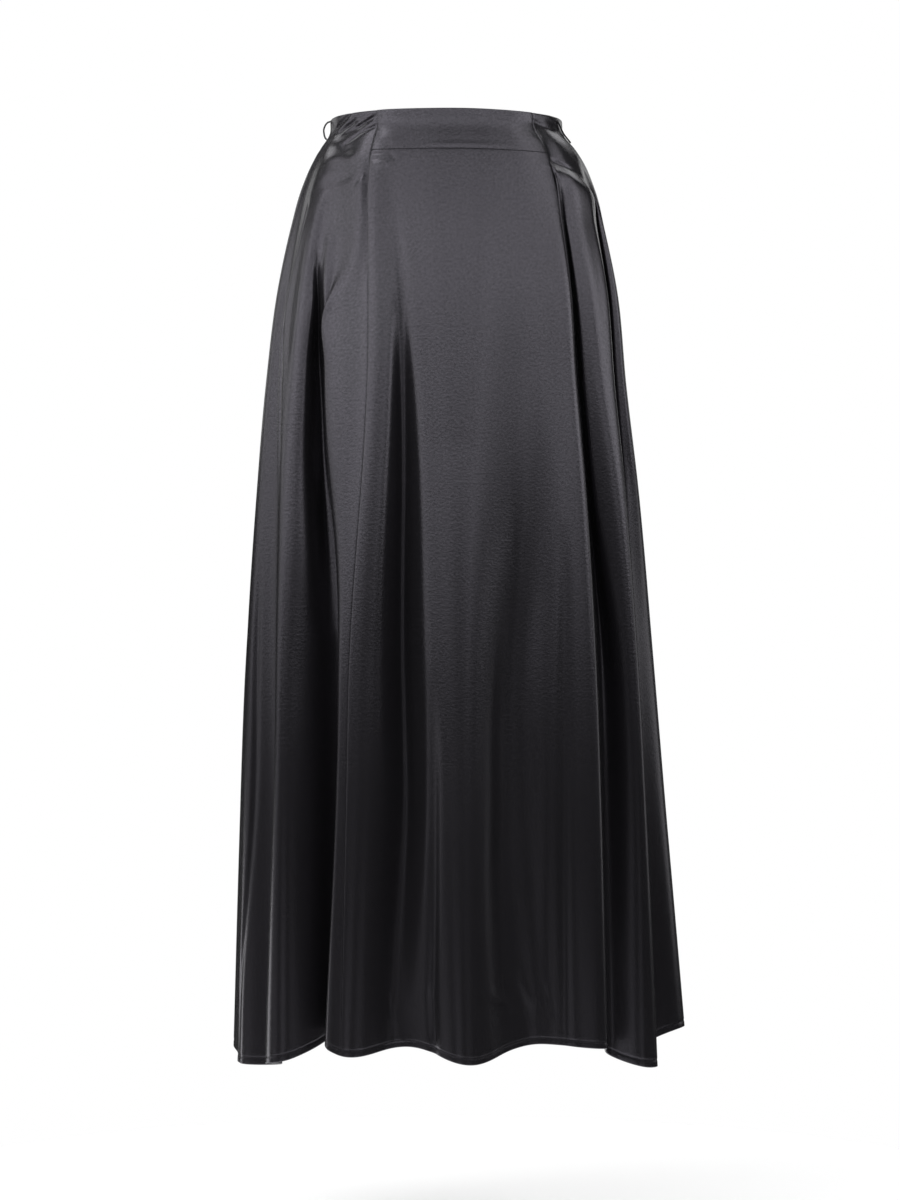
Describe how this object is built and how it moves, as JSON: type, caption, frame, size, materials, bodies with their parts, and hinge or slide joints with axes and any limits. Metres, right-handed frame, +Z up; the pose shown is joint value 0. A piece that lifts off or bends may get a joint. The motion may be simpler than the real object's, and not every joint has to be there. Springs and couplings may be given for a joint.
{
  "type": "maxi skirt",
  "caption": "Ankle-length flared satin skirt in its worn, hollow form: flat front waistband, gathered elastic back waistband and a thin cord carrier at each side.",
  "frame": {"origin": "on the waist's axis at half the height of the front waistband, where the wearer's waist holds the skirt; the waist mount is there", "axes": "+Z up, from hem to waist; -Y towards the wearer's front; +X towards the wearer's left"},
  "size_m": [0.4803, 0.418, 0.9947],
  "materials": {
    "satin": "satin weave, soft sheen",
    "waistband_satin": "satin weave, doubled over an interlining",
    "carrier_satin": "narrow satin cord"
  },
  "bodies": {
    "root": {"front_panel": "satin", "side_front_left": "satin", "side_front_right": "satin", "back_panel": "satin", "front_waistband": "waistband_satin", "back_waistband": "waistband_satin", "carrier_right": "carrier_satin", "carrier_left": "carrier_satin"}
  },
  "joints": []
}
